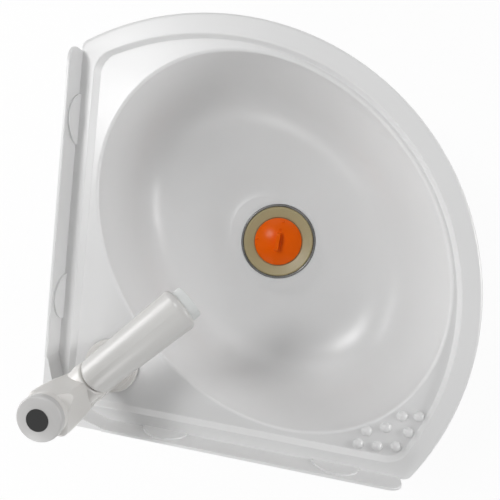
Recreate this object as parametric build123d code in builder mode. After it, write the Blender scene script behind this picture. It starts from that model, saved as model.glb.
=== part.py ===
"""Corner washbasin of moulded plastic with a swivel tap and a plugged waste.

The origin is the corner of the room at rim height. +X and +Y run along the two walls,
and +Z is up. All sizes are in millimetres.
"""

from build123d import *
from math import cos, radians, sin, sqrt
import os

os.makedirs("parts", exist_ok=True)

# Clearances, how far a cut runs past what it cuts, and how near an edge counts as being at a place
running_gap = 0.05
post_gap = 0.06
open_gap = 0.3
overrun = 1.0
near_enough = 0.01

# Driving dimensions of the shell
front_center = 134.9
front_corner_radius = 10.0
shell_wall = 3.0
skirt_depth = 16.0
rim_edge_radius = 3.5
upstand_end_gap = 7.8
upstand_height = 25.2
upstand_thickness = 2.6
upstand_end_radius = 16.0
upstand_foot = 3.6
upstand_edge_round = 1.0
corner_block_reach = 66.0
corner_block_shoulder = (39.0, 10.5)
corner_block_step = 1.2
pad_radius = 23.7
pad_center_drop = 2.9
pad_proud = 1.8
pad_places = (125.6, 299.6)

# Driving dimensions of the step, the deck and the soap bumps
deck_drop = 5.0
wall_band = 15.0
wall_step_run = 5.0
front_band = 18.4
front_step_run = 2.8
step_corner_radius = 24.0
step_edge_round = 1.2
step_foot_round = 0.8
soap_bump_radius = 5.6
soap_bump_sink = 1.6
soap_bump_places = (
    (52.0, 26.6),
    (33.9, 27.6),
    (16.5, 31.1),
    (45.9, 41.2),
    (29.1, 48.3),
    (7.8, 47.8),
    (16.2, 62.6),
    (1.0, 65.6),
)

# Driving dimensions of the bowl
bowl_wall_margin = 7.43
bowl_front_margin = 4.56
bowl_half_across = 195.7
bowl_half_along = 150.5
bowl_depth = 110.0
bowl_edge_radius = 3.0
mouth_clear_share = 1.07
bowl_profile_ratios = (
    (1.0, 0.0),
    (0.973, 0.25),
    (0.935, 0.45),
    (0.87, 0.66),
    (0.76, 0.84),
    (0.60, 0.94),
    (0.42, 0.985),
    (0.30, 1.0),
)

# Driving dimensions of the waste
waste_offset = 3.2
waste_rise = 0.8
waste_seat_depth = 3.8
waste_seat_radius = 43.0
waste_hole_radius = 30.0
waste_boss_radius = 47.5
waste_boss_height = 3.6
ring_outer_radius = 42.7
ring_inner_radius = 40.3
ring_height = 4.3
ring_round = 0.9
flange_radius = 40.0
flange_rim_height = 3.2
flange_rim_flat = 2.0
flange_rim_chamfer = 0.8
flange_web = 1.0
flange_dish_drop = 1.9
flange_dish_radius = 28.5
flange_neck_radius = 29.5
flange_throat_radius = 24.0
flange_throat_wall = 2.5
flange_seat_drop = 3.5
flange_depth = 14.2
strainer_height = 3.0
strainer_bar = 3.0
strainer_boss_radius = 7.0
gasket_thickness = 1.2
gasket_inner_radius = 31.0
lower_gasket_thickness = 2.0
lower_gasket_radii = (30.5, 44.0)
plug_radius = 27.0
plug_edge = 1.6
plug_dome_height = 6.0
plug_skirt_radius = 22.4
plug_skirt_inner_radius = 19.2
plug_skirt_level = 8.9
plug_dome_wall = 2.4
plug_groove_radius = 21.2
plug_seal_height = 2.4
plug_seal_round = 0.8
dome_fall_halfway = 0.24
fin_length = 21.0
fin_thickness = 4.4
fin_height = 9.5
fin_root = 2.0
fin_corner_radius = 4.0
fin_turn = 88.2
nub_radius = 1.2
nub_places = ((3.0, 22.8), (-23.8, -0.3), (0.8, 14.2))
cup_flange_radius = 45.0
cup_flange_thickness = 4.0
cup_inner_radius = 27.0
cup_outer_radius = 30.6
cup_side_depth = 14.0
cup_cone_depth = 12.0
cup_corner_wall = 1.0
cup_rib_count = 3
cup_rib_reach = 21.4
cup_rib_height = 8.0
cup_boss_radius = 6.0
cup_boss_height = 14.0
outlet_bore_radius = 16.0
outlet_stub_radius = 20.4
outlet_stub_length = 16.0
waste_screw_radius = 3.0
waste_screw_head_radius = 5.5
waste_screw_head_height = 3.0
waste_screw_head_round = 1.0
waste_screw_slot_width = 1.4
waste_screw_slot_depth = 1.2
waste_screw_end_gap = 2.0
union_seal_thickness = 1.4
union_nut_radius = 25.0
union_nut_grip_radius = 2.2
union_nut_grip_count = 12
union_nut_height = 18.0
union_nut_floor = 3.0
hose_collar_radius = 19.5
hose_collar_height = 3.0
hose_tail_radius = 13.5
hose_tail_bore_radius = 11.2
hose_tail_drop = 9.0
hose_bend_radius = 22.0
hose_tail_reach = 26.0

# Driving dimensions of the tap's fixed parts
tap_center = 60.3
tap_hole_radius = 11.2
shank_radius = 10.4
shank_length = 37.0
inlet_radius = 6.0
water_bore_radius = 4.2
inlet_length = 30.0
tap_gasket_thickness = 1.5
tap_gasket_radius = 26.0
base_radius = 28.3
base_thickness = 4.5
base_round = 1.5
base_step_radius = 23.5
base_step_height = 2.0
base_step_round = 0.8
post_radius = 9.0
post_top = 88.0
post_groove_radius = 7.0
post_groove_height = 2.4
post_groove_levels = (20.0, 36.0)
ring_cord_radius = 1.0
clip_radii = (7.5, 11.3)
clip_thickness = 1.2
clip_opening = 9.0
washer_radius = 19.0
washer_thickness = 1.5
locknut_width = 32.0
locknut_height = 7.0

# Driving dimensions of the swivelling column and its spout
column_foot_radius = 19.0
column_foot_top = 57.0
column_taper = 4.0
column_wall = 1.8
chamber_radius = 13.0
chamber_floor = 58.0
head_top = 136.0
hood_drop = 1.5
hood_shift = 0.75
hood_round = 3.0
hood_foot = (1.6, 7.8)
hood_waist_level = 82.0
hood_waist = (2.3, 6.1)
hood_shoulder_level = 104.0
hood_shoulder = (3.6, 5.5)
hood_head = (3.95, 5.5)
facet_turn = 8.2
facet_rise = 36.0
facet_drop = 11.5
facet_reach = 22.0
collar_radius = 18.2
collar_height = 3.4
collar_round = 1.0
spout_azimuth = 46.5
spout_rise = 9.0
spout_root_height = 77.0
socket_radius = 17.0
socket_reach = 23.2
socket_round = 2.0
socket_floor = 15.5
socket_bore_radius = 13.95
socket_port_radius = 8.0
spigot_radius = 13.9
spigot_bore_radius = 10.5
spigot_start = 16.0
spigot_groove_place = 19.0
spigot_groove_radius = 12.3
spigot_groove_width = 2.0
spout_ring_cord_radius = 0.8
spout_near_radius = 17.0
spout_near_round = 4.0
spout_joint_gap = 0.5
spout_far_radius = 18.2
spout_bore_radius = 14.4
spout_bore_start = 30.0
spout_reach = 131.0
spout_cut_lean = 33.0
spout_end_round = 3.8
nozzle_radius = 14.0
nozzle_bore_radius = 11.0
nozzle_seat_radius = 12.4
nozzle_insert = 6.0
nozzle_proud = 8.0
nozzle_round = 1.2
nozzle_ledge = 2.0
outlet_strainer_thickness = 1.0
outlet_strainer_hole_radius = 1.0
outlet_strainer_rings = ((4, 4.0), (10, 8.0))

# Driving dimensions of the valve and the knob
bonnet_bottom = 94.0
bonnet_flange_radius = 15.5
bonnet_flange_thickness = 1.2
hex_width = 17.0
hex_gap = 0.2
barrel_chamber_bottom = 105.0
barrel_top = 118.0
barrel_bottom = 105.4
barrel_radius = 6.6
barrel_bore_radius = 3.6
barrel_bore_top = 116.0
spindle_radius = 5.0
spindle_groove_level = 126.0
spindle_groove_radius = 3.4
spindle_groove_height = 2.0
spindle_ring_cord_radius = 0.8
spindle_square = 7.0
square_lift = 1.0
stud_radius = 3.3
stud_top = 112.0
plunger_top = 98.0
plunger_pin_radius = 2.0
plunger_pin_length = 2.0
valve_washer_radius = 7.4
valve_washer_thickness = 3.0
knob_radius = 18.8
knob_gap = 1.2
knob_side_height = 5.4
knob_dome_height = 2.4
knob_round = 2.2
knob_wall = 2.4
knob_hub_radius = 7.5
knob_hub_drop = 0.5
knob_cap_radius = 9.1
knob_cap_thickness = 1.9
knob_cap_round = 0.4
knob_screw_radius = 1.6
knob_screw_head_radius = 3.2
knob_screw_head_height = 2.0
knob_screw_length = 10.0
knob_screw_cross_length = 4.0
knob_screw_cross_width = 0.9
knob_screw_cross_depth = 1.0


def mouth_point(turn):
    """Point of the bowl's mouth seen from above, at an angle in degrees from its long half."""
    across = bowl_half_across * cos(radians(turn)) / sqrt(2)
    along = bowl_half_along * sin(radians(turn)) / sqrt(2)
    return bowl_center + along + across, bowl_center + along - across


def front_distance(point):
    """Distance of a point seen from above from the center of the front arc."""
    return sqrt((point[0] - front_center) ** 2 + (point[1] - front_center) ** 2)


# Outline of the shell, which leaves a margin around the bowl's mouth
bowl_half_span = sqrt((bowl_half_across**2 + bowl_half_along**2) / 2)
bowl_center = wall_band + wall_step_run + bowl_wall_margin + bowl_half_span
deck_front_radius = bowl_front_margin + max(front_distance(mouth_point(turn)) for turn in range(360))
recess_front_radius = deck_front_radius + front_step_run
front_radius = recess_front_radius + front_band
wall_reach = front_center + sqrt(front_radius**2 - front_center**2)
upstand_length = wall_reach - upstand_end_gap
waste_center = bowl_center + waste_offset

# Levels that several pieces share
deck_level = -deck_drop
deck_underside = deck_level - shell_wall
floor_level = deck_level - bowl_depth
waste_seat_level = floor_level + waste_rise - waste_seat_depth
waste_boss_level = waste_seat_level - waste_boss_height
flange_underside = waste_seat_level + gasket_thickness
flange_rim_level = flange_underside + flange_rim_height
flange_dish_level = flange_rim_level - flange_dish_drop
flange_seat_level = flange_dish_level - flange_seat_drop
flange_bottom = flange_underside - flange_depth
throat_outer_radius = flange_throat_radius + flange_throat_wall
strainer_top = flange_bottom + strainer_height
cup_top = waste_boss_level - lower_gasket_thickness
cup_side_bottom = cup_top - cup_side_depth
cup_cone_bottom = cup_side_bottom - cup_cone_depth
cup_bottom = cup_cone_bottom - outlet_stub_length
hose_collar_top = cup_bottom - union_seal_thickness
hose_collar_bottom = hose_collar_top - hose_collar_height
hose_bend_level = hose_collar_bottom - hose_tail_drop
hose_outlet_level = hose_bend_level - hose_bend_radius
base_bottom = deck_level + tap_gasket_thickness
base_step_bottom = base_bottom + base_thickness
base_top = base_step_bottom + base_step_height
shank_bottom = base_bottom - shank_length
inlet_bottom = shank_bottom - inlet_length
column_bottom = base_top + open_gap
column_radius = chamber_radius + column_wall
hood_top = head_top - hood_drop
collar_top = head_top + collar_height
clip_bottom = chamber_floor + open_gap
washer_bottom = deck_underside - washer_thickness
locknut_bottom = washer_bottom - locknut_height
valve_washer_bottom = post_top + open_gap
plunger_bottom = valve_washer_bottom + valve_washer_thickness
bonnet_top = head_top + bonnet_flange_thickness
knob_bottom = collar_top + knob_gap
knob_shoulder = knob_bottom + knob_side_height
knob_inside_top = knob_shoulder - knob_wall
knob_cap_top = knob_shoulder + knob_dome_height
knob_cap_bottom = knob_cap_top - knob_cap_thickness
knob_screw_top = knob_cap_bottom - running_gap
knob_screw_shoulder = knob_screw_top - knob_screw_head_height

# Axes and planes that several pieces share
waste_section = Plane(origin=(waste_center, waste_center, 0), x_dir=(1, 0, 0), z_dir=(0, -1, 0))
waste_axis = Axis((waste_center, waste_center, 0), (0, 0, 1))
tap_section = Plane(origin=(tap_center, tap_center, 0), x_dir=(1, 0, 0), z_dir=(0, -1, 0))
tap_axis = Axis((tap_center, tap_center, 0), (0, 0, 1))
spout_origin = Vector(tap_center, tap_center, spout_root_height)
spout_heading = Vector(cos(radians(spout_azimuth)), sin(radians(spout_azimuth)), 0)
spout_side = Vector(spout_heading.Y, -spout_heading.X, 0)
spout_direction = spout_heading * cos(radians(spout_rise)) + Vector(0, 0, 1) * sin(radians(spout_rise))
spout_section = Plane(origin=spout_origin, x_dir=spout_direction, z_dir=spout_side)
spout_axis = Axis(spout_origin, spout_direction)
cut_normal = (
    spout_direction * cos(radians(spout_cut_lean))
    - spout_section.y_dir * sin(radians(spout_cut_lean))
)
cut_plane = Plane(origin=spout_origin + spout_direction * spout_reach, x_dir=spout_side, z_dir=cut_normal)
hose_heading = Vector(-1, -1, 0).normalized()


def section(plane, *points):
    """Closed outline through points on a plane."""
    with BuildSketch(plane) as outline:
        with BuildLine():
            Polyline(*points, close=True)
        make_face()
    return outline.sketch


def disc(plane, radius):
    """Full circle on a plane."""
    with BuildSketch(plane) as outline:
        Circle(radius)
    return outline.sketch


def hexagon(plane, width):
    """Regular hexagon on a plane, given across its flats."""
    with BuildSketch(plane) as outline:
        RegularPolygon(width / 2, 6, major_radius=False)
    return outline.sketch


def band(inner, outer, low, high):
    """Corners of a rectangular ring section."""
    return (inner, low), (outer, low), (outer, high), (inner, high)


def waste_plane(height):
    """Horizontal plane on the waste's axis."""
    return Plane(origin=(waste_center, waste_center, height))


def tap_plane(height):
    """Horizontal plane on the tap's axis."""
    return Plane(origin=(tap_center, tap_center, height))


def spout_plane(place):
    """Plane square to the spout at a place along it."""
    return Plane(origin=spout_origin + spout_direction * place, x_dir=spout_side, z_dir=spout_direction)


def corner_outline(height, wall_gap, arc_radius, end_radius, room_radius=0.0):
    """Outline with two straight sides along the walls and one front arc."""
    reach = front_center + sqrt(arc_radius**2 - (front_center - wall_gap) ** 2)
    middle = front_center + arc_radius * cos(radians(45))
    with BuildSketch(Plane.XY.offset(height)) as outline:
        with BuildLine():
            Polyline((wall_gap, reach), (wall_gap, wall_gap), (reach, wall_gap))
            ThreePointArc((reach, wall_gap), (middle, middle), (wall_gap, reach))
        make_face()
        by_distance = outline.vertices().sort_by_distance((wall_gap, wall_gap, height))
        fillet(by_distance[1:], end_radius)
        if room_radius > 0:
            by_distance = outline.vertices().sort_by_distance((wall_gap, wall_gap, height))
            fillet(by_distance[0], room_radius)
    return outline.sketch


def upstand_outline(plane):
    """Upstand seen square to its wall, with a rounded free end."""
    with BuildSketch(plane) as outline:
        Rectangle(upstand_length, skirt_depth + upstand_height, align=Align.MIN)
        far = outline.vertices().group_by(Axis.Z)[-1].sort_by_distance((0, 0, upstand_height))[-1]
        fillet(far, upstand_end_radius)
    return outline.sketch


def pad_outline(plane):
    """Half disc standing on the rim, seen square to its wall."""
    with BuildSketch(plane) as outline:
        Circle(pad_radius)
        with Locations((0, pad_center_drop - shell_wall / 2)):
            Rectangle(2 * pad_radius, 2 * pad_radius, align=(Align.CENTER, Align.MAX), mode=Mode.SUBTRACT)
    return outline.sketch


def bowl_form(growth, top_extra=0.0):
    """Oval bowl as a solid, its long half lying across the corner's diagonal."""
    across = bowl_half_across + growth
    along = bowl_half_along + growth
    depth = bowl_depth + growth
    levels = []
    for share, fall in bowl_profile_ratios:
        place = (bowl_center, bowl_center, deck_level - fall * depth)
        with BuildSketch(Plane(origin=place, x_dir=(1, -1, 0), z_dir=(0, 0, 1))) as oval:
            Ellipse(share * across, share * along)
        levels.append(oval.sketch)
    with BuildPart() as form:
        loft(levels)
        if top_extra > 0:
            extrude(levels[0], amount=top_extra)
    return form.part


def hose_form(radius):
    """Quarter bend between two straight stretches, down from the waste and out towards the room corner."""
    start = Vector(waste_center, waste_center, hose_bend_level)
    turn = Axis(start + hose_heading * hose_bend_radius, (hose_heading.Y, -hose_heading.X, 0))
    end = Vector(waste_center, waste_center, hose_outlet_level) + hose_heading * hose_bend_radius
    with BuildPart() as form:
        extrude(disc(waste_plane(hose_bend_level), radius), amount=hose_collar_top - hose_bend_level)
        revolve(disc(waste_plane(hose_bend_level), radius), axis=turn, revolution_arc=90)
        extrude(disc(Plane(origin=end, x_dir=(0, 0, 1), z_dir=hose_heading), radius), amount=hose_tail_reach)
    return form.part


def mouth_share(point):
    """1 on the oval where the bowl meets the deck, less inside it and more outside."""
    across = (point.X - point.Y) / sqrt(2) / bowl_half_across
    along = (point.X + point.Y - 2 * bowl_center) / sqrt(2) / bowl_half_along
    return across**2 + along**2


def lies_at(edge, height):
    """Whether an edge runs level at a height."""
    return all(abs((edge @ share).Z - height) < near_enough for share in (0.1, 0.3, 0.5))


def lies_on_mouth(edge):
    """Whether an edge belongs to the oval where the bowl meets the deck."""
    return lies_at(edge, deck_level) and abs(mouth_share(edge @ 0.3) - 1) < near_enough


def lies_on_step_foot(edge):
    """Whether an edge runs round the deck where the step comes down on it."""
    clear_of_mouth = max(mouth_share(edge @ share) for share in (0.1, 0.5, 0.9)) > mouth_clear_share
    return lies_at(edge, deck_level) and edge.length > step_corner_radius / 2 and clear_of_mouth


def lies_on_step_edge(edge):
    """Whether an edge is where the rim band turns down to the deck."""
    point = edge @ 0.5
    off_walls = min(point.X, point.Y) > wall_band - step_edge_round / 2
    off_front = front_distance((point.X, point.Y)) < recess_front_radius + step_edge_round / 2
    return lies_at(edge, 0) and off_walls and off_front


def lies_on_upstand(edge):
    """Whether an edge is the inner top edge of an upstand."""
    point = edge @ 0.5
    return lies_at(edge, upstand_height) and min(point.X, point.Y) > upstand_thickness - near_enough


def rims(part, radius, height):
    """Round edges of a part at a radius and a height."""
    circles = part.edges().filter_by(GeomType.CIRCLE)
    return [e for e in circles if abs(e.radius - radius) < near_enough and lies_at(e, height)]


# Basin shell
recess_top = corner_outline(0, wall_band, recess_front_radius, step_corner_radius, step_corner_radius)
recess_foot = corner_outline(
    deck_level,
    wall_band + wall_step_run,
    deck_front_radius,
    step_corner_radius - front_step_run,
    step_corner_radius - front_step_run,
)
pan_top = corner_outline(
    -shell_wall / 2,
    wall_band - shell_wall,
    recess_front_radius + shell_wall,
    step_corner_radius + shell_wall,
    step_corner_radius + shell_wall,
)
pan_foot = corner_outline(
    deck_underside,
    wall_band + wall_step_run - shell_wall,
    deck_front_radius + shell_wall,
    step_corner_radius,
    step_corner_radius,
)
skirt_inside = corner_outline(
    -skirt_depth, shell_wall, front_radius - shell_wall, front_corner_radius - shell_wall
)
along_x = Plane(origin=(0, 0, -skirt_depth), x_dir=(1, 0, 0), z_dir=(0, -1, 0))
along_y = Plane(origin=(0, 0, -skirt_depth), x_dir=(0, 1, 0), z_dir=(1, 0, 0))
with BuildPart() as upstands:
    extrude(upstand_outline(along_x), amount=-upstand_thickness)
    extrude(upstand_outline(along_y), amount=upstand_thickness)
    fillet([e for e in upstands.edges() if lies_on_upstand(e)], upstand_edge_round)
bowl_outside = bowl_form(shell_wall)
bowl_inside = bowl_form(0, top_extra=deck_drop)

with BuildPart() as basin_shell:
    extrude(corner_outline(-skirt_depth, 0, front_radius, front_corner_radius), amount=skirt_depth)
    fillet(basin_shell.faces().sort_by(Axis.Z)[-1].edges(), rim_edge_radius)
    extrude(skirt_inside, amount=skirt_depth - shell_wall, mode=Mode.SUBTRACT)

    # Deck pan with its sloping step
    loft([pan_top, pan_foot], ruled=True)
    loft([recess_top, recess_foot], ruled=True, mode=Mode.SUBTRACT)

    # Bowl
    add(bowl_outside)
    add(bowl_inside, mode=Mode.SUBTRACT)
    fillet([e for e in basin_shell.edges() if lies_on_mouth(e)], bowl_edge_radius)
    fillet([e for e in basin_shell.edges() if lies_on_step_foot(e)], step_foot_round)
    fillet([e for e in basin_shell.edges() if lies_on_step_edge(e)], step_edge_round)

    # Waste seat
    extrude(disc(waste_plane(waste_boss_level), waste_boss_radius), amount=floor_level - waste_boss_level)
    extrude(
        disc(waste_plane(waste_seat_level), waste_seat_radius), amount=bowl_depth / 2, mode=Mode.SUBTRACT
    )
    extrude(
        disc(waste_plane(waste_boss_level), waste_hole_radius), amount=bowl_depth / 2, mode=Mode.SUBTRACT
    )

    # Soap bumps
    bump_level = deck_level - soap_bump_sink
    with Locations(*[(wall_reach - back, out, bump_level) for back, out in soap_bump_places]):
        Sphere(soap_bump_radius)

    # Tap hole
    extrude(disc(tap_plane(deck_underside), tap_hole_radius), amount=2 * shell_wall, mode=Mode.SUBTRACT)

    # Upstands, their feet, and the half discs on them
    add(upstands.part)
    with BuildSketch(Plane.XY.offset(-skirt_depth)):
        Rectangle(upstand_length, upstand_foot, align=Align.MIN)
        Rectangle(upstand_foot, upstand_length, align=Align.MIN)
    extrude(amount=skirt_depth)
    for place in pad_places:
        pad_on_x = Plane(origin=(place, 0, -pad_center_drop), x_dir=(1, 0, 0), z_dir=(0, -1, 0))
        pad_on_y = Plane(origin=(0, place, -pad_center_drop), x_dir=(0, 1, 0), z_dir=(1, 0, 0))
        extrude(pad_outline(pad_on_x), amount=-(upstand_thickness + pad_proud))
        extrude(pad_outline(pad_on_y), amount=upstand_thickness + pad_proud)

    # Block in the room corner, open underneath
    block_top = upstand_height - corner_block_step
    shoulder_out, shoulder_in = corner_block_shoulder
    with BuildSketch(Plane.XY.offset(block_top)):
        Rectangle(corner_block_reach, corner_block_reach, align=Align.MIN)
    extrude(amount=2 * corner_block_step, mode=Mode.SUBTRACT)
    with BuildSketch(Plane.XY.offset(-skirt_depth)) as block_outline:
        with BuildLine():
            Polyline(
                (0, 0),
                (corner_block_reach, 0),
                (corner_block_reach, upstand_thickness),
                (shoulder_out, shoulder_in),
                (shoulder_in, shoulder_out),
                (upstand_thickness, corner_block_reach),
                (0, corner_block_reach),
                close=True,
            )
        make_face()
    extrude(amount=skirt_depth + block_top)
    with BuildSketch(Plane.XY.offset(-skirt_depth)):
        offset(block_outline.sketch, amount=-shell_wall, kind=Kind.INTERSECTION)
    extrude(amount=skirt_depth + block_top - shell_wall, mode=Mode.SUBTRACT)
basin_shell.part.label = "basin_shell"
export_step(basin_shell.part, "parts/basin_shell.step")

# Trim ring around the waste
with BuildPart() as waste_trim_ring:
    revolve(
        section(
            waste_section,
            *band(ring_inner_radius, ring_outer_radius, waste_seat_level, waste_seat_level + ring_height),
        ),
        axis=waste_axis,
    )
    fillet(waste_trim_ring.faces().sort_by(Axis.Z)[-1].edges(), ring_round)
waste_trim_ring.part.label = "waste_trim_ring"
export_step(waste_trim_ring.part, "parts/waste_trim_ring.step")

# Gaskets above and below the shell
with BuildPart() as waste_top_gasket:
    revolve(
        section(waste_section, *band(gasket_inner_radius, flange_radius, waste_seat_level, flange_underside)),
        axis=waste_axis,
    )
waste_top_gasket.part.label = "waste_top_gasket"
export_step(waste_top_gasket.part, "parts/waste_top_gasket.step")

with BuildPart() as waste_bottom_gasket:
    revolve(section(waste_section, *band(*lower_gasket_radii, cup_top, waste_boss_level)), axis=waste_axis)
waste_bottom_gasket.part.label = "waste_bottom_gasket"
export_step(waste_bottom_gasket.part, "parts/waste_bottom_gasket.step")

# Dished flange with the plug's seat, the throat and a cross for the screw
with BuildPart() as waste_flange:
    revolve(
        section(
            waste_section,
            (flange_radius, flange_underside),
            (flange_radius, flange_rim_level - flange_rim_chamfer),
            (flange_radius - flange_rim_chamfer, flange_rim_level),
            (flange_radius - flange_rim_flat, flange_rim_level),
            (flange_dish_radius, flange_dish_level),
            (flange_throat_radius, flange_seat_level),
            (flange_throat_radius, flange_bottom),
            (throat_outer_radius, flange_bottom),
            (throat_outer_radius, flange_seat_level - flange_web),
            (flange_neck_radius, flange_underside - flange_web),
            (flange_neck_radius, flange_underside),
        ),
        axis=waste_axis,
    )
    with BuildSketch(waste_plane(flange_bottom)):
        Rectangle(2 * flange_throat_radius + flange_throat_wall, strainer_bar)
        Rectangle(strainer_bar, 2 * flange_throat_radius + flange_throat_wall)
        Circle(strainer_boss_radius)
        Circle(waste_screw_radius, mode=Mode.SUBTRACT)
    extrude(amount=strainer_height)
waste_flange.part.label = "waste_flange"
export_step(waste_flange.part, "parts/waste_flange.step")

# Plug with its dome, skirt, fin and three small nubs
seat_slope = flange_seat_drop / (flange_dish_radius - flange_throat_radius)
seat_lift = open_gap * sqrt(1 + seat_slope**2)
plug_edge_bottom = flange_dish_level - (flange_dish_radius - plug_radius) * seat_slope + seat_lift
plug_neck_level = flange_dish_level - (flange_dish_radius - plug_skirt_radius) * seat_slope + seat_lift
plug_edge_top = plug_edge_bottom + plug_edge
plug_top = plug_edge_top + plug_dome_height
plug_skirt_bottom = plug_edge_bottom - plug_skirt_level
plug_seal_bottom = plug_neck_level - plug_seal_height - open_gap
dome_inside = plug_top - plug_dome_wall
with BuildPart() as plug_body:
    with BuildSketch(waste_section):
        with BuildLine():
            Polyline(
                (0, dome_inside),
                (0, plug_top),
            )
            ThreePointArc(
                (0, plug_top),
                (plug_radius / 2, plug_top - plug_dome_height * dome_fall_halfway),
                (plug_radius, plug_edge_top),
            )
            Polyline(
                (plug_radius, plug_edge_top),
                (plug_radius, plug_edge_bottom),
                (plug_skirt_radius, plug_neck_level),
                (plug_skirt_radius, plug_seal_bottom + plug_seal_height),
                (plug_groove_radius, plug_seal_bottom + plug_seal_height),
                (plug_groove_radius, plug_seal_bottom),
                (plug_skirt_radius, plug_seal_bottom),
                (plug_skirt_radius, plug_skirt_bottom),
                (plug_skirt_inner_radius, plug_skirt_bottom),
                (plug_skirt_inner_radius, plug_edge_top),
                (0, dome_inside),
            )
        make_face()
    revolve(axis=waste_axis)
    fin_plane = Plane(
        origin=(waste_center, waste_center, plug_top - fin_root),
        x_dir=(cos(radians(fin_turn)), sin(radians(fin_turn)), 0),
        z_dir=(sin(radians(fin_turn)), -cos(radians(fin_turn)), 0),
    )
    with BuildSketch(fin_plane) as fin_outline:
        Rectangle(fin_length, fin_height + fin_root, align=(Align.CENTER, Align.MIN))
        fillet(fin_outline.vertices().group_by(Axis.Z)[-1], fin_corner_radius)
    extrude(amount=fin_thickness / 2, both=True)
    for x, y in nub_places:
        fall = plug_dome_height * (x**2 + y**2) / plug_radius**2
        with Locations((waste_center + x, waste_center + y, plug_top - fall)):
            Sphere(nub_radius)
plug_body.part.label = "plug_body"
export_step(plug_body.part, "parts/plug_body.step")

with BuildPart() as plug_seal:
    revolve(
        section(
            waste_section,
            *band(
                plug_groove_radius,
                flange_throat_radius - running_gap,
                plug_seal_bottom,
                plug_seal_bottom + plug_seal_height,
            ),
        ),
        axis=waste_axis,
    )
    fillet(plug_seal.edges().filter_by(GeomType.CIRCLE).group_by(SortBy.RADIUS)[-1], plug_seal_round)
plug_seal.part.label = "plug_seal"
export_step(plug_seal.part, "parts/plug_seal.step")

# Cup under the bowl, with a boss on ribs for the screw
with BuildPart() as waste_body:
    revolve(
        section(
            waste_section,
            (cup_inner_radius, cup_top),
            (cup_flange_radius, cup_top),
            (cup_flange_radius, cup_top - cup_flange_thickness),
            (cup_outer_radius, cup_top - cup_flange_thickness),
            (cup_outer_radius, cup_side_bottom - cup_corner_wall),
            (outlet_stub_radius, cup_cone_bottom - cup_corner_wall),
            (outlet_stub_radius, cup_bottom),
            (outlet_bore_radius, cup_bottom),
            (outlet_bore_radius, cup_cone_bottom),
            (cup_inner_radius, cup_side_bottom),
        ),
        axis=waste_axis,
    )
    with BuildSketch(waste_plane(cup_cone_bottom)):
        with PolarLocations(cup_rib_reach / 2, cup_rib_count):
            Rectangle(cup_rib_reach, strainer_bar)
        Circle(cup_boss_radius)
    extrude(amount=cup_rib_height)
    extrude(disc(waste_plane(cup_cone_bottom), cup_boss_radius), amount=cup_boss_height)
    extrude(
        disc(waste_plane(cup_cone_bottom), waste_screw_radius), amount=cup_boss_height, mode=Mode.SUBTRACT
    )
waste_body.part.label = "waste_body"
export_step(waste_body.part, "parts/waste_body.step")

waste_screw_end = cup_cone_bottom + waste_screw_end_gap
with BuildPart() as waste_screw:
    extrude(disc(waste_plane(waste_screw_end), waste_screw_radius), amount=strainer_top - waste_screw_end)
    extrude(disc(waste_plane(strainer_top), waste_screw_head_radius), amount=waste_screw_head_height)
    fillet(waste_screw.faces().sort_by(Axis.Z)[-1].edges(), waste_screw_head_round)
    with BuildSketch(waste_plane(strainer_top + waste_screw_head_height - waste_screw_slot_depth)):
        Rectangle(2 * waste_screw_head_radius, waste_screw_slot_width)
    extrude(amount=waste_screw_slot_depth, mode=Mode.SUBTRACT)
waste_screw.part.label = "waste_screw"
export_step(waste_screw.part, "parts/waste_screw.step")

# Union that holds the hose tail
with BuildPart() as waste_union_seal:
    revolve(
        section(waste_section, *band(outlet_bore_radius, hose_collar_radius, hose_collar_top, cup_bottom)),
        axis=waste_axis,
    )
waste_union_seal.part.label = "waste_union_seal"
export_step(waste_union_seal.part, "parts/waste_union_seal.step")

union_nut_bottom = hose_collar_bottom - union_nut_floor
with BuildPart() as waste_union_nut:
    with BuildSketch(waste_plane(union_nut_bottom)):
        Circle(union_nut_radius)
        with PolarLocations(union_nut_radius, union_nut_grip_count):
            Circle(union_nut_grip_radius)
        Circle(hose_tail_radius + open_gap, mode=Mode.SUBTRACT)
    extrude(amount=union_nut_height)
    extrude(
        disc(waste_plane(hose_collar_bottom), outlet_stub_radius), amount=union_nut_height, mode=Mode.SUBTRACT
    )
waste_union_nut.part.label = "waste_union_nut"
export_step(waste_union_nut.part, "parts/waste_union_nut.step")

# Bent hose tail
hose_outside = hose_form(hose_tail_radius)
hose_inside = hose_form(hose_tail_bore_radius)
with BuildPart() as waste_hose_tail:
    add(hose_outside)
    extrude(disc(waste_plane(hose_collar_bottom), hose_collar_radius), amount=hose_collar_height)
    add(hose_inside, mode=Mode.SUBTRACT)
waste_hose_tail.part.label = "waste_hose_tail"
export_step(waste_hose_tail.part, "parts/waste_hose_tail.step")

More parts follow.
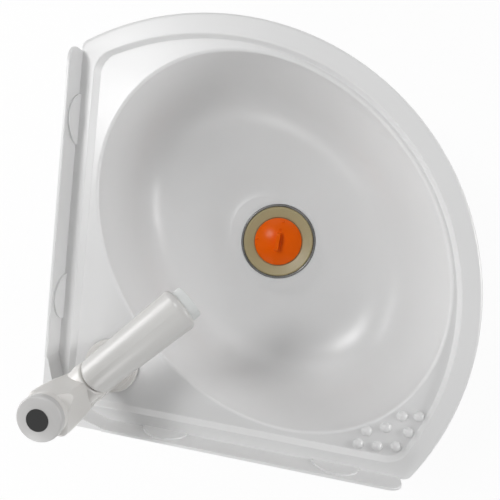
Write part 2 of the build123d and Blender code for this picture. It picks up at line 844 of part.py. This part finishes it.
# Tap base with its pivot post, shank and inlet tail
with BuildPart() as tap_base:
    revolve(
        section(
            tap_section,
            (0, inlet_bottom),
            (inlet_radius, inlet_bottom),
            (inlet_radius, shank_bottom),
            (shank_radius, shank_bottom),
            (shank_radius, base_bottom),
            (base_radius, base_bottom),
            (base_radius, base_step_bottom),
            (base_step_radius, base_step_bottom),
            (base_step_radius, base_top),
            (post_radius, base_top),
            (post_radius, post_top),
            (0, post_top),
        ),
        axis=tap_axis,
    )
    fillet(rims(tap_base, base_radius, base_step_bottom), base_round)
    fillet(rims(tap_base, base_step_radius, base_top), base_step_round)
    for level in post_groove_levels:
        revolve(
            section(
                tap_section,
                *band(
                    post_groove_radius,
                    post_radius + overrun,
                    level - post_groove_height / 2,
                    level + post_groove_height / 2,
                ),
            ),
            axis=tap_axis,
            mode=Mode.SUBTRACT,
        )
    revolve(
        section(
            tap_section,
            *band(clip_radii[0], post_radius + overrun, clip_bottom, clip_bottom + clip_thickness),
        ),
        axis=tap_axis,
        mode=Mode.SUBTRACT,
    )
    extrude(
        disc(tap_plane(inlet_bottom), water_bore_radius), amount=post_top - inlet_bottom, mode=Mode.SUBTRACT
    )
tap_base.part.label = "tap_base"
export_step(tap_base.part, "parts/tap_base.step")

with BuildPart() as tap_gasket:
    revolve(
        section(tap_section, *band(tap_hole_radius, tap_gasket_radius, deck_level, base_bottom)),
        axis=tap_axis,
    )
tap_gasket.part.label = "tap_gasket"
export_step(tap_gasket.part, "parts/tap_gasket.step")

with BuildPart() as tap_washer:
    revolve(
        section(tap_section, *band(tap_hole_radius, washer_radius, washer_bottom, deck_underside)),
        axis=tap_axis,
    )
tap_washer.part.label = "tap_washer"
export_step(tap_washer.part, "parts/tap_washer.step")

with BuildPart() as tap_locknut:
    extrude(hexagon(tap_plane(locknut_bottom), locknut_width), amount=locknut_height)
    extrude(disc(tap_plane(locknut_bottom), shank_radius), amount=locknut_height, mode=Mode.SUBTRACT)
tap_locknut.part.label = "tap_locknut"
export_step(tap_locknut.part, "parts/tap_locknut.step")

with BuildPart() as post_o_rings:
    for level in post_groove_levels:
        with Locations((tap_center, tap_center, level)):
            Torus(post_groove_radius + ring_cord_radius, ring_cord_radius)
post_o_rings.part.label = "post_o_rings"
export_step(post_o_rings.part, "parts/post_o_rings.step")

with BuildPart() as post_clip:
    with BuildSketch(tap_plane(clip_bottom)):
        Circle(clip_radii[1])
        Circle(clip_radii[0], mode=Mode.SUBTRACT)
        with Locations((-clip_radii[1], 0)):
            Rectangle(2 * clip_radii[1], clip_opening, mode=Mode.SUBTRACT)
    extrude(amount=clip_thickness)
post_clip.part.label = "post_clip"
export_step(post_clip.part, "parts/post_clip.step")

# Hood around the column's upper half, its section growing upwards from round to square
hood_middle = Vector(tap_center, tap_center, 0) + spout_side * hood_shift
hood_turn = radians(spout_azimuth - 45)
hood_sections = []
for height, (wall, corner_radius) in (
    (column_foot_top, hood_foot),
    (hood_waist_level, hood_waist),
    (hood_shoulder_level, hood_shoulder),
    (hood_top, hood_head),
):
    flats = 2 * (chamber_radius + wall)
    place = hood_middle + Vector(0, 0, height)
    level = Plane(origin=place, x_dir=(cos(hood_turn), sin(hood_turn), 0), z_dir=(0, 0, 1))
    with BuildSketch(level) as outline:
        RectangleRounded(flats, flats, corner_radius)
    hood_sections.append(outline.sketch)
facet_azimuth = radians(spout_azimuth - facet_turn)
facet_heading = Vector(cos(facet_azimuth), sin(facet_azimuth), 0)
facet_plane = Plane(
    origin=Vector(tap_center, tap_center, head_top - facet_drop) + facet_heading * facet_reach,
    z_dir=facet_heading * cos(radians(facet_rise)) + Vector(0, 0, 1) * sin(radians(facet_rise)),
)
with BuildPart() as tap_hood:
    loft(hood_sections)
    fillet(tap_hood.faces().sort_by(Axis.Z)[-1].edges(), hood_round)
    split(bisect_by=facet_plane, keep=Keep.BOTTOM)

# Swivelling column with its hood, the collar under the knob and the spout's socket
with BuildPart() as tap_body:
    revolve(
        section(
            tap_section,
            (0, column_bottom),
            (column_foot_radius, column_bottom),
            (column_foot_radius, column_foot_top),
            (column_radius, column_foot_top + column_taper),
            (column_radius, head_top),
            (0, head_top),
        ),
        axis=tap_axis,
    )
    with Locations(tuple(spout_origin)):
        Sphere(socket_radius)
    extrude(disc(spout_plane(0), socket_radius), amount=socket_reach)
    fillet(tap_body.faces().sort_by(spout_axis)[-1].edges(), socket_round)
    add(tap_hood.part)
    extrude(disc(tap_plane(hood_top), collar_radius), amount=collar_top - hood_top)
    fillet(rims(tap_body, collar_radius, collar_top), collar_round)
    extrude(
        disc(tap_plane(column_bottom), post_radius + post_gap),
        amount=head_top - column_bottom,
        mode=Mode.SUBTRACT,
    )
    extrude(
        disc(tap_plane(chamber_floor), chamber_radius), amount=head_top - chamber_floor, mode=Mode.SUBTRACT
    )
    extrude(
        disc(tap_plane(head_top), bonnet_flange_radius + running_gap),
        amount=collar_height,
        mode=Mode.SUBTRACT,
    )
    extrude(disc(spout_plane(0), socket_port_radius), amount=socket_reach, mode=Mode.SUBTRACT)
    extrude(disc(spout_plane(socket_floor), socket_bore_radius), amount=socket_reach, mode=Mode.SUBTRACT)
tap_body.part.label = "tap_body"
export_step(tap_body.part, "parts/tap_body.step")

# Spout, cut at a slant, with a spigot in the socket and a seat for its outlet
with BuildPart() as spout_bore:
    revolve(
        section(
            spout_section,
            (spigot_start, 0),
            (spigot_start, spigot_bore_radius),
            (socket_reach, spigot_bore_radius),
            (spout_bore_start, spout_bore_radius),
            (spout_reach + spout_far_radius, spout_bore_radius),
            (spout_reach + spout_far_radius, 0),
        ),
        axis=spout_axis,
    )
    split(bisect_by=cut_plane.offset(-nozzle_insert - nozzle_ledge), keep=Keep.BOTTOM)

spout_near = socket_reach + spout_joint_gap
with BuildPart() as spout_tube:
    revolve(
        section(
            spout_section,
            (spout_near, 0),
            (spout_near, spout_near_radius),
            (spout_reach, spout_far_radius),
            (spout_reach + spout_far_radius, spout_far_radius),
            (spout_reach + spout_far_radius, 0),
        ),
        axis=spout_axis,
    )
    split(bisect_by=cut_plane, keep=Keep.BOTTOM)
    end_face = spout_tube.faces().sort_by_distance(cut_plane.origin)[0]
    fillet(end_face.edges(), spout_end_round)
    near_face = spout_tube.faces().sort_by_distance(spout_origin)[0]
    fillet(near_face.edges(), spout_near_round)
    revolve(
        section(
            spout_section,
            (spigot_start, 0),
            (spigot_start, spigot_radius),
            (spigot_groove_place, spigot_radius),
            (spigot_groove_place, spigot_groove_radius),
            (spigot_groove_place + spigot_groove_width, spigot_groove_radius),
            (spigot_groove_place + spigot_groove_width, spigot_radius),
            (spout_near + overrun, spigot_radius),
            (spout_near + overrun, 0),
        ),
        axis=spout_axis,
    )
    add(spout_bore.part, mode=Mode.SUBTRACT)
    extrude(
        disc(cut_plane.offset(-nozzle_insert - nozzle_ledge - overrun), nozzle_bore_radius),
        amount=nozzle_ledge + 2 * overrun,
        mode=Mode.SUBTRACT,
    )
    extrude(
        disc(cut_plane.offset(-nozzle_insert), nozzle_radius), amount=2 * nozzle_insert, mode=Mode.SUBTRACT
    )
spout_tube.part.label = "spout_tube"
export_step(spout_tube.part, "parts/spout_tube.step")

with BuildPart() as spout_o_ring:
    ring_place = spout_plane(spigot_groove_place + spigot_groove_width / 2)
    with Locations(ring_place.location):
        Torus(spigot_groove_radius + spout_ring_cord_radius, spout_ring_cord_radius)
spout_o_ring.part.label = "spout_o_ring"
export_step(spout_o_ring.part, "parts/spout_o_ring.step")

# Outlet insert and the strainer behind it
with BuildPart() as spout_outlet:
    extrude(disc(cut_plane.offset(-nozzle_insert), nozzle_radius), amount=nozzle_insert + nozzle_proud)
    outlet_face = spout_outlet.faces().sort_by(Axis(cut_plane.origin, cut_plane.z_dir))[-1]
    fillet(outlet_face.edges(), nozzle_round)
    extrude(
        disc(cut_plane.offset(-nozzle_insert), nozzle_bore_radius),
        amount=nozzle_insert + nozzle_proud,
        mode=Mode.SUBTRACT,
    )
    extrude(
        disc(cut_plane.offset(-nozzle_insert), nozzle_seat_radius), amount=nozzle_insert, mode=Mode.SUBTRACT
    )
spout_outlet.part.label = "spout_outlet"
export_step(spout_outlet.part, "parts/spout_outlet.step")

with BuildPart() as outlet_strainer:
    with BuildSketch(cut_plane.offset(-outlet_strainer_thickness)):
        Circle(nozzle_seat_radius)
        Circle(outlet_strainer_hole_radius, mode=Mode.SUBTRACT)
        for count, radius in outlet_strainer_rings:
            with PolarLocations(radius, count):
                Circle(outlet_strainer_hole_radius, mode=Mode.SUBTRACT)
    extrude(amount=outlet_strainer_thickness)
outlet_strainer.part.label = "outlet_strainer"
export_step(outlet_strainer.part, "parts/outlet_strainer.step")

# Valve: bonnet, spindle, plunger and washer
with BuildPart() as valve_bonnet:
    extrude(disc(tap_plane(bonnet_bottom), chamber_radius), amount=head_top - bonnet_bottom)
    extrude(disc(tap_plane(head_top), bonnet_flange_radius), amount=bonnet_flange_thickness)
    extrude(
        hexagon(tap_plane(bonnet_bottom), hex_width + hex_gap),
        amount=barrel_chamber_bottom - bonnet_bottom,
        mode=Mode.SUBTRACT,
    )
    extrude(
        disc(tap_plane(bonnet_bottom), barrel_radius + open_gap),
        amount=barrel_top + open_gap - bonnet_bottom,
        mode=Mode.SUBTRACT,
    )
    extrude(
        disc(tap_plane(bonnet_bottom), spindle_radius + running_gap),
        amount=bonnet_top - bonnet_bottom,
        mode=Mode.SUBTRACT,
    )
valve_bonnet.part.label = "valve_bonnet"
export_step(valve_bonnet.part, "parts/valve_bonnet.step")

square_bottom = bonnet_top + square_lift
square_top = knob_inside_top - open_gap
with BuildPart() as valve_spindle:
    extrude(disc(tap_plane(barrel_bottom), barrel_radius), amount=barrel_top - barrel_bottom)
    extrude(disc(tap_plane(barrel_bottom), spindle_radius), amount=square_bottom - barrel_bottom)
    with BuildSketch(tap_plane(square_bottom)):
        Rectangle(spindle_square, spindle_square)
    extrude(amount=square_top - square_bottom)
    extrude(
        disc(tap_plane(barrel_bottom), barrel_bore_radius),
        amount=barrel_bore_top - barrel_bottom,
        mode=Mode.SUBTRACT,
    )
    revolve(
        section(
            tap_section,
            *band(
                spindle_groove_radius,
                spindle_radius + overrun,
                spindle_groove_level - spindle_groove_height / 2,
                spindle_groove_level + spindle_groove_height / 2,
            ),
        ),
        axis=tap_axis,
        mode=Mode.SUBTRACT,
    )
    extrude(
        disc(tap_plane(knob_screw_shoulder), knob_screw_radius), amount=-knob_screw_length, mode=Mode.SUBTRACT
    )
valve_spindle.part.label = "valve_spindle"
export_step(valve_spindle.part, "parts/valve_spindle.step")

with BuildPart() as spindle_o_ring:
    with Locations((tap_center, tap_center, spindle_groove_level)):
        Torus(spindle_groove_radius + spindle_ring_cord_radius, spindle_ring_cord_radius)
spindle_o_ring.part.label = "spindle_o_ring"
export_step(spindle_o_ring.part, "parts/spindle_o_ring.step")

with BuildPart() as valve_plunger:
    extrude(hexagon(tap_plane(plunger_bottom), hex_width), amount=plunger_top - plunger_bottom)
    extrude(disc(tap_plane(plunger_bottom), stud_radius), amount=stud_top - plunger_bottom)
    extrude(disc(tap_plane(plunger_bottom), plunger_pin_radius), amount=-plunger_pin_length)
valve_plunger.part.label = "valve_plunger"
export_step(valve_plunger.part, "parts/valve_plunger.step")

with BuildPart() as valve_washer:
    extrude(disc(tap_plane(valve_washer_bottom), valve_washer_radius), amount=valve_washer_thickness)
    extrude(
        disc(tap_plane(plunger_bottom), plunger_pin_radius), amount=-plunger_pin_length, mode=Mode.SUBTRACT
    )
valve_washer.part.label = "valve_washer"
export_step(valve_washer.part, "parts/valve_washer.step")

# Knob, its screw and the cap over it
with BuildPart() as knob:
    with BuildSketch(tap_section):
        with BuildLine():
            Polyline(
                (0, knob_shoulder + knob_dome_height),
                (0, knob_inside_top),
                (knob_radius - knob_wall, knob_inside_top),
                (knob_radius - knob_wall, knob_bottom),
                (knob_radius, knob_bottom),
                (knob_radius, knob_shoulder),
            )
            ThreePointArc(
                (knob_radius, knob_shoulder),
                (knob_radius / 2, knob_shoulder + knob_dome_height * (1 - dome_fall_halfway)),
                (0, knob_shoulder + knob_dome_height),
            )
        make_face()
    revolve(axis=tap_axis)
    fillet(rims(knob, knob_radius, knob_shoulder), knob_round)
    extrude(
        disc(tap_plane(bonnet_top + knob_hub_drop), knob_hub_radius),
        amount=knob_inside_top - bonnet_top - knob_hub_drop,
    )
    with BuildSketch(tap_plane(bonnet_top)):
        Rectangle(spindle_square, spindle_square)
    extrude(amount=square_top - bonnet_top, mode=Mode.SUBTRACT)
    extrude(
        disc(tap_plane(bonnet_top), spindle_radius + running_gap),
        amount=square_bottom - bonnet_top,
        mode=Mode.SUBTRACT,
    )
    extrude(disc(tap_plane(knob_cap_bottom), knob_cap_radius), amount=knob_side_height, mode=Mode.SUBTRACT)
    extrude(
        disc(tap_plane(knob_screw_shoulder), knob_screw_head_radius),
        amount=knob_side_height,
        mode=Mode.SUBTRACT,
    )
    extrude(
        disc(tap_plane(bonnet_top), knob_screw_radius),
        amount=knob_cap_bottom - bonnet_top,
        mode=Mode.SUBTRACT,
    )
knob.part.label = "knob"
export_step(knob.part, "parts/knob.step")

with BuildPart() as knob_screw:
    extrude(disc(tap_plane(knob_screw_shoulder), knob_screw_head_radius), amount=knob_screw_head_height)
    extrude(disc(tap_plane(knob_screw_shoulder), knob_screw_radius), amount=-knob_screw_length)
    with BuildSketch(tap_plane(knob_screw_top - knob_screw_cross_depth)):
        Rectangle(knob_screw_cross_length, knob_screw_cross_width)
        Rectangle(knob_screw_cross_width, knob_screw_cross_length)
    extrude(amount=knob_screw_cross_depth, mode=Mode.SUBTRACT)
knob_screw.part.label = "knob_screw"
export_step(knob_screw.part, "parts/knob_screw.step")

with BuildPart() as knob_cap:
    extrude(disc(tap_plane(knob_cap_bottom), knob_cap_radius), amount=knob_cap_thickness)
    fillet(knob_cap.faces().sort_by(Axis.Z)[-1].edges(), knob_cap_round)
knob_cap.part.label = "knob_cap"
export_step(knob_cap.part, "parts/knob_cap.step")
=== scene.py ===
"""Looks of the corner washbasin: moulded plastics, metal trim, soft light and the photograph's camera."""

from math import cos, radians, sin

import bpy
from mathutils import Matrix, Vector


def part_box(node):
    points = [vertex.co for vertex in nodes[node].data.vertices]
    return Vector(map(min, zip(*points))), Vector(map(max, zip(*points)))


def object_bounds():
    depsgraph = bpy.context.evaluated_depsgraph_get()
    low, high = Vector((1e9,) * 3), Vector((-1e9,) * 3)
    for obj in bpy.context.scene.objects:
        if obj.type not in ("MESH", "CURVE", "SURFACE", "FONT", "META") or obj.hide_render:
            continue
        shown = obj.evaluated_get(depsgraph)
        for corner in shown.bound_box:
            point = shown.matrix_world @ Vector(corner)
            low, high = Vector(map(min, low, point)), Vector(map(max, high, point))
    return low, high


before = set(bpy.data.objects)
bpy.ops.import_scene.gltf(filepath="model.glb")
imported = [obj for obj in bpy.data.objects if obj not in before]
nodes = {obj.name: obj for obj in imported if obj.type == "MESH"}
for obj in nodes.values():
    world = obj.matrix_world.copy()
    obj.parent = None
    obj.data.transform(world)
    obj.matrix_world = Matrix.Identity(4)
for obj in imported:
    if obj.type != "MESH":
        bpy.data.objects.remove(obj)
cad_box = [list(corner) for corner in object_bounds()]

# Camera, where the photograph was taken from: pixels, metres and directions
image_size = 500
sensor_width_mm = 36
nearest_seen = 0.01
furthest_seen = 50
focal_pixels = 520.0
image_center = (223.36, 300.48)
camera_place = (0.237907, 0.236461, 0.493224)
camera_right = (0.97752, 0.13292, -0.16369)
camera_up = (-0.15837, 0.97533, -0.15379)
camera_back = (0.13921, 0.17626, 0.97445)

# Object's own places, from its nodes
shell_low, shell_high = (Vector(corner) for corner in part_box("basin_shell"))
basin_middle = (shell_low + shell_high) / 2
floor_level = cad_box[0][2]

# Floor and light, in metres, with strengths as shares of white
floor_size = 12
floor_glow_share = 0.92
world_strength = 0.14
lamp_distance = 1.4

# Moulded plastics. The peel is drawn coarser than the real one, under 1 mm, so that it shows
mm_per_metre = 1000
plastic_ior = 1.5
cloud_detail = 3.0
peel_mm = 2.4
peel_detail = 2.0
peel_strength = 0.05
peel_height = 0.0004
roughness_spread = 0.03

# Turned and polished metals. The grain is drawn coarser than tool marks are, so that it shows
grain_mm = 0.6
grain_detail = 2.0
grain_strength = 0.04
grain_height = 0.0002
smoothest_share = 0.8
roughest_share = 1.25

# Sockets of the mix node that carry colours
mix_color_a = 6
mix_color_b = 7
mix_color_result = 2


def linear(text):
    """Linear colour of an sRGB hex value."""
    parts = [int(text[i : i + 2], 16) / 255 for i in (1, 3, 5)]
    return (*[c / 12.92 if c <= 0.04045 else ((c + 0.055) / 1.055) ** 2.4 for c in parts], 1)


def new_material(name):
    """Node material with no nodes yet."""
    material = bpy.data.materials.new(name)
    material.use_nodes = True
    material.node_tree.nodes.clear()
    return material


def add(holder, kind, inputs=None, **settings):
    """Adds a node to a material or the world, sets it up, and fills or links its inputs."""
    tree = holder.node_tree
    node = tree.nodes.new(kind)
    for name, value in settings.items():
        setattr(node, name, value)
    for name, value in (inputs or {}).items():
        if isinstance(value, bpy.types.NodeSocket):
            tree.links.new(value, node.inputs[name])
        else:
            node.inputs[name].default_value = value
    return node


def moulded_plastic(name, light, dark, roughness, cloud_mm=70, shine=0.5):
    """Moulded plastic: almost even colour with faint clouds, a slight orange peel and soft gloss."""
    material = new_material(name)
    place = add(material, "ShaderNodeTexCoord").outputs["Object"]
    clouds = add(
        material,
        "ShaderNodeTexNoise",
        {"Vector": place, "Scale": mm_per_metre / cloud_mm, "Detail": cloud_detail},
    )
    tint = add(
        material,
        "ShaderNodeMix",
        {"Factor": clouds.outputs["Fac"], mix_color_a: linear(dark), mix_color_b: linear(light)},
        data_type="RGBA",
    )
    peel = add(
        material,
        "ShaderNodeTexNoise",
        {"Vector": place, "Scale": mm_per_metre / peel_mm, "Detail": peel_detail},
    )
    bump = add(
        material,
        "ShaderNodeBump",
        {"Height": peel.outputs["Fac"], "Strength": peel_strength, "Distance": peel_height},
    )
    gloss = add(
        material,
        "ShaderNodeMapRange",
        {
            "Value": clouds.outputs["Fac"],
            "To Min": roughness - roughness_spread,
            "To Max": roughness + roughness_spread,
        },
    )
    shader = add(
        material,
        "ShaderNodeBsdfPrincipled",
        {
            "Base Color": tint.outputs[mix_color_result],
            "Roughness": gloss.outputs["Result"],
            "IOR": plastic_ior,
            "Specular IOR Level": shine,
            "Normal": bump.outputs["Normal"],
        },
    )
    add(material, "ShaderNodeOutputMaterial", {"Surface": shader.outputs["BSDF"]})
    return material


def machined_metal(name, color, roughness):
    """Turned or polished metal: fine grain that only blurs its reflections a little."""
    material = new_material(name)
    place = add(material, "ShaderNodeTexCoord").outputs["Object"]
    grain = add(
        material,
        "ShaderNodeTexNoise",
        {"Vector": place, "Scale": mm_per_metre / grain_mm, "Detail": grain_detail},
    )
    bump = add(
        material,
        "ShaderNodeBump",
        {"Height": grain.outputs["Fac"], "Strength": grain_strength, "Distance": grain_height},
    )
    gloss = add(
        material,
        "ShaderNodeMapRange",
        {
            "Value": grain.outputs["Fac"],
            "To Min": roughness * smoothest_share,
            "To Max": roughness * roughest_share,
        },
    )
    shader = add(
        material,
        "ShaderNodeBsdfPrincipled",
        {
            "Base Color": linear(color),
            "Metallic": 1.0,
            "Roughness": gloss.outputs["Result"],
            "Normal": bump.outputs["Normal"],
        },
    )
    add(material, "ShaderNodeOutputMaterial", {"Surface": shader.outputs["BSDF"]})
    return material


def dress(material, *names):
    """Gives CAD nodes a material."""
    for name in names:
        node = nodes[name]
        if not node.material_slots:
            node.data.materials.append(material)
        for slot in node.material_slots:
            slot.material = material


# Shell: vacuum-formed ABS, satin neutral white, which gives soft, wide highlights
shell_abs = moulded_plastic("formed_abs_shell", "#E2E2E2", "#DDDDDD", 0.29)
# Tap: injection-moulded ABS, a little warmer and glossier than the shell
tap_abs = moulded_plastic("moulded_abs_tap", "#DAD8D5", "#D5D3D0", 0.28)
# Spout and knob: the same ABS, a little greyer, so that their lit tops stay below white
spout_abs = moulded_plastic("moulded_abs_spout", "#CBCAC8", "#C6C5C3", 0.30)
knob_abs = moulded_plastic("moulded_abs_knob", "#C4C3C2", "#BFBEBD", 0.32)
# Outlet: unpigmented polyethylene, pale and cloudy
outlet_pe = moulded_plastic("cloudy_polyethylene_outlet", "#DADCDB", "#D2D4D3", 0.42, cloud_mm=12)
# Plug: orange polypropylene with a weak, small reflection, which keeps its orange deep
plug_pp = moulded_plastic("orange_polypropylene_plug", "#F06400", "#EA5C00", 0.22, shine=0.1)
# Flange: beige polypropylene with a satin dish
flange_pp = moulded_plastic("beige_polypropylene_flange", "#A89B76", "#A0936C", 0.36)
# Waste parts under the bowl: grey recycled polypropylene, matt
waste_pp = moulded_plastic("grey_polypropylene_waste", "#A2A4A6", "#989A9C", 0.45)
# Cap in the knob: dark ABS, nearly matt
cap_abs = moulded_plastic("dark_abs_cap", "#2B2B2B", "#262626", 0.40, shine=0.25)
# Seals: moulded nitrile rubber, dull black
seal_rubber = moulded_plastic("nitrile_rubber_seals", "#262626", "#1F1F1F", 0.62)
# Trim ring: polished steel, its colour darkened as a painted dark reflection of its surroundings, seen as a
# thin dark line with a lighter edge
steel_trim_painted_dark_reflection = machined_metal("steel_trim_with_painted_dark_reflection", "#6A6A69", 0.16)
# Screws, clip and strainer: plain stainless steel
fastener_steel = machined_metal("stainless_fasteners", "#B5B5B3", 0.30)
# Valve: turned brass, warm and slightly blurred
valve_brass = machined_metal("turned_brass_valve", "#C9A55A", 0.28)

dress(shell_abs, "basin_shell")
dress(tap_abs, "tap_base", "tap_body")
dress(spout_abs, "spout_tube")
dress(knob_abs, "knob")
dress(outlet_pe, "spout_outlet")
dress(plug_pp, "plug_body")
dress(flange_pp, "waste_flange")
dress(waste_pp, "waste_body", "waste_union_nut", "waste_hose_tail", "tap_washer", "tap_locknut")
dress(cap_abs, "knob_cap")
dress(
    seal_rubber,
    "waste_top_gasket",
    "waste_bottom_gasket",
    "waste_union_seal",
    "plug_seal",
    "tap_gasket",
    "post_o_rings",
    "spout_o_ring",
    "spindle_o_ring",
    "valve_washer",
)
dress(steel_trim_painted_dark_reflection, "waste_trim_ring")
dress(fastener_steel, "waste_screw", "post_clip", "outlet_strainer", "knob_screw")
dress(valve_brass, "valve_bonnet", "valve_spindle", "valve_plunger")


def make_camera():
    """Camera of the photograph, whose picture was cropped off centre."""
    data = bpy.data.cameras.new("camera")
    data.sensor_width = sensor_width_mm
    data.lens = focal_pixels / image_size * data.sensor_width
    data.shift_x = (image_size / 2 - image_center[0]) / image_size
    data.shift_y = (image_center[1] - image_size / 2) / image_size
    data.clip_start = nearest_seen
    data.clip_end = furthest_seen
    camera = bpy.data.objects.new("camera", data)
    bpy.context.scene.collection.objects.link(camera)
    turn = Matrix((camera_right, camera_up, camera_back)).transposed()
    camera.matrix_world = Matrix.Translation(camera_place) @ turn.to_4x4()
    bpy.context.scene.camera = camera


def seen_background(holder):
    """Socket that is 1 where the camera sees the background, straight or by way of metal or glass."""
    path = add(holder, "ShaderNodeLightPath")
    mirrored = add(
        holder,
        "ShaderNodeMath",
        {0: path.outputs["Is Camera Ray"], 1: path.outputs["Is Glossy Ray"]},
        operation="MAXIMUM",
    )
    through = add(
        holder,
        "ShaderNodeMath",
        {0: mirrored.outputs[0], 1: path.outputs["Is Transmission Ray"]},
        operation="MAXIMUM",
    )
    return through.outputs[0]


def make_floor():
    """Plain pale floor that shows almost white and keeps a faint, soft shadow."""
    bpy.ops.object.select_all(action="DESELECT")
    bpy.ops.mesh.primitive_plane_add(size=floor_size, location=(basin_middle.x, basin_middle.y, floor_level))
    floor = bpy.context.object
    floor.name = "floor"
    material = new_material("pale_floor")
    diffuse = add(material, "ShaderNodeBsdfDiffuse", {"Color": linear("#F4F4F4")})
    glow = add(material, "ShaderNodeEmission", {"Color": linear("#FFFFFF"), "Strength": 1.0})
    seen = add(
        material,
        "ShaderNodeMath",
        {0: seen_background(material), 1: floor_glow_share},
        operation="MULTIPLY",
    )
    mix = add(
        material,
        "ShaderNodeMixShader",
        {"Fac": seen.outputs[0], 1: diffuse.outputs[0], 2: glow.outputs[0]},
    )
    add(material, "ShaderNodeOutputMaterial", {"Surface": mix.outputs[0]})
    floor.data.materials.append(material)


def make_world():
    """Even surroundings: a weak fill light, and plain white wherever they are seen."""
    world = bpy.data.worlds.new("studio")
    bpy.context.scene.world = world
    world.use_nodes = True
    world.node_tree.nodes.clear()
    white = linear("#FFFFFF")
    fill = add(world, "ShaderNodeBackground", {"Color": white, "Strength": world_strength})
    seen = add(world, "ShaderNodeBackground", {"Color": white, "Strength": 1.0})
    mix = add(
        world,
        "ShaderNodeMixShader",
        {"Fac": seen_background(world), 1: fill.outputs[0], 2: seen.outputs[0]},
    )
    add(world, "ShaderNodeOutputWorld", {"Surface": mix.outputs[0]})


def make_lamp(name, azimuth, elevation, size, power):
    """Square soft box that faces the middle of the basin from a direction in degrees."""
    data = bpy.data.lights.new(name, "AREA")
    data.shape = "SQUARE"
    data.size = size
    data.energy = power
    lamp = bpy.data.objects.new(name, data)
    bpy.context.scene.collection.objects.link(lamp)
    level = cos(radians(elevation))
    towards = Vector((level * cos(radians(azimuth)), level * sin(radians(azimuth)), sin(radians(elevation))))
    lamp.location = basin_middle + towards * lamp_distance
    lamp.rotation_euler = towards.to_track_quat("Z", "Y").to_euler()


make_camera()
make_floor()
make_world()

# Small high key, which gives the bowl's glow and the spout's soft shadow
make_lamp("key", 152, 62, 0.30, 6.2)
# Low boxes that light the upright faces more than the level ones, and weak ones that open the shadows
make_lamp("front", 8, 16, 0.5, 9.0)
make_lamp("left", 178, 14, 0.6, 7.6)
make_lamp("far", 67, 34, 0.7, 1.7)
make_lamp("room_corner", 247, 25, 0.7, 6.4)
make_lamp("right_wall", 292, 34, 0.7, 1.2)
make_lamp("left_wall", 112, 38, 0.7, 2.2)

bpy.context.scene.view_settings.view_transform = "Standard"
